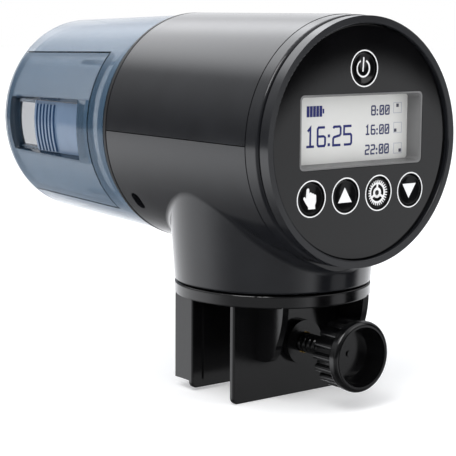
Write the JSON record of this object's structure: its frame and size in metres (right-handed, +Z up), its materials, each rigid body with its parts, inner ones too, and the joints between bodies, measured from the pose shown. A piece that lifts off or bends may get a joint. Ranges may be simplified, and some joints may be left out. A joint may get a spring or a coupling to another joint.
{
  "type": "automatic fish feeder",
  "caption": "Clamp-on aquarium feeder: round housing with display and buttons, turning translucent food drum with refill door and portion gate, on a swivelling screw clamp.",
  "frame": {"origin": "on the swivel axis, at the underside of the clamp's seat, which rests on the tank's rim", "axes": "+Z up along the swivel axis; the drum's axis runs along Y, the display looks towards -Y and the food drum is at +Y"},
  "size_m": [0.0708, 0.1431, 0.1118],
  "materials": {
    "shell_black": "gloss",
    "face_black": "high gloss",
    "clamp_black": "gloss",
    "button_black": "gloss",
    "smoke_clear": "gloss, translucent",
    "gate_smoke": "gloss, translucent",
    "window_grey": "satin",
    "display_glass": "satin",
    "white_plastic": "satin",
    "mat_rubber": "matt",
    "board_green": "satin",
    "screw_steel": "bright",
    "inner_grey": "satin",
    "cell_wrap": "satin",
    "motor_steel": "bright",
    "bush_brass": "bright",
    "gear_white": "satin",
    "magnet_plate": "bright",
    "felt": "matt",
    "spring_steel": "bright",
    "pad_rubber": "matt"
  },
  "bodies": {
    "clamp": {"clamp_body": "clamp_black", "screw_insert": "bush_brass", "swivel_screw": "screw_steel", "swivel_washer": "screw_steel", "swivel_spring": "spring_steel"},
    "drum": {"drum_carrier": "shell_black", "carrier_screw": "screw_steel", "drive_shaft": "motor_steel", "drum_gear": "gear_white", "home_magnet": "magnet_plate", "food_drum": "smoke_clear"},
    "pinion": {"motor_pinion": "gear_white"},
    "door": {"refill_door": "smoke_clear"},
    "gate": {"portion_gate": "gate_smoke"},
    "pad": {"pressure_pad": "pad_rubber"},
    "screw": {"clamp_screw": "clamp_black", "clamp_knob": "clamp_black"},
    "power_button_body": {"power_button": "button_black"},
    "feed_button_body": {"feed_button": "button_black"},
    "up_button_body": {"up_button": "button_black"},
    "set_button_body": {"set_button": "button_black"},
    "down_button_body": {"down_button": "button_black"},
    "head": {"front_bezel": "shell_black", "fascia_panel": "face_black", "display_surround": "window_grey", "display_panel": "display_glass", "display_backlight": "white_plastic", "button_mats": "mat_rubber", "control_board": "board_green", "board_screws": "screw_steel", "housing_upper": "shell_black", "housing_lower": "shell_black", "rear_bulkhead": "inner_grey", "bulkhead_screws": "screw_steel", "charging_socket": "inner_grey", "battery_cell": "cell_wrap", "battery_cradle": "inner_grey", "cradle_screws": "screw_steel", "drive_motor": "motor_steel", "motor_gearbox": "bush_brass", "motor_bracket": "motor_steel", "motor_screws": "screw_steel", "gear_bridge": "inner_grey", "bridge_screws": "screw_steel", "front_bush": "bush_brass", "rear_bush": "bush_brass", "home_sensor": "board_green", "drum_seal": "felt"}
  },
  "joints": [
    {"name": "head_swivel", "type": "hinge", "parent": "clamp", "child": "head", "pos_m": [0, 0, 0], "axis": [0, 0, 1], "continuous": true},
    {"name": "drum_spin", "type": "hinge", "parent": "head", "child": "drum", "pos_m": [0, 0, 0.048], "axis": [0, 1, 0], "continuous": true},
    {"name": "pinion_spin", "type": "hinge", "parent": "head", "child": "pinion", "pos_m": [0, 0, 0.072], "axis": [0, 1, 0], "continuous": true},
    {"name": "door_pull", "type": "slide", "parent": "drum", "child": "door", "axis": [-1, 0, 0], "range_m": [0, 0.04]},
    {"name": "gate_slide", "type": "slide", "parent": "door", "child": "gate", "axis": [0, 1, 0], "range_m": [0, 0.0125]},
    {"name": "pad_slide", "type": "slide", "parent": "clamp", "child": "pad", "axis": [0, 1, 0], "range_m": [0, 0.0134]},
    {"name": "screw_turn", "type": "hinge", "parent": "pad", "child": "screw", "pos_m": [0, 0, -0.0126], "axis": [0, 1, 0], "range_deg": [0, 2413]},
    {"name": "power_button_press", "type": "slide", "parent": "head", "child": "power_button_body", "axis": [0, 1, 0], "range_m": [0, 0.0006], "stiffness_N_per_m": 300, "springref_m": -0.0005},
    {"name": "feed_button_press", "type": "slide", "parent": "head", "child": "feed_button_body", "axis": [0, 1, 0], "range_m": [0, 0.0006], "stiffness_N_per_m": 300, "springref_m": -0.0005},
    {"name": "up_button_press", "type": "slide", "parent": "head", "child": "up_button_body", "axis": [0, 1, 0], "range_m": [0, 0.0006], "stiffness_N_per_m": 300, "springref_m": -0.0005},
    {"name": "set_button_press", "type": "slide", "parent": "head", "child": "set_button_body", "axis": [0, 1, 0], "range_m": [0, 0.0006], "stiffness_N_per_m": 300, "springref_m": -0.0005},
    {"name": "down_button_press", "type": "slide", "parent": "head", "child": "down_button_body", "axis": [0, 1, 0], "range_m": [0, 0.0006], "stiffness_N_per_m": 300, "springref_m": -0.0005}
  ],
  "couplings": [
    {"joint": "pinion_spin", "follows": "drum_spin", "ratio": -4},
    {"joint": "screw_turn", "follows": "pad_slide", "rad_per_m": 3141.6}
  ]
}
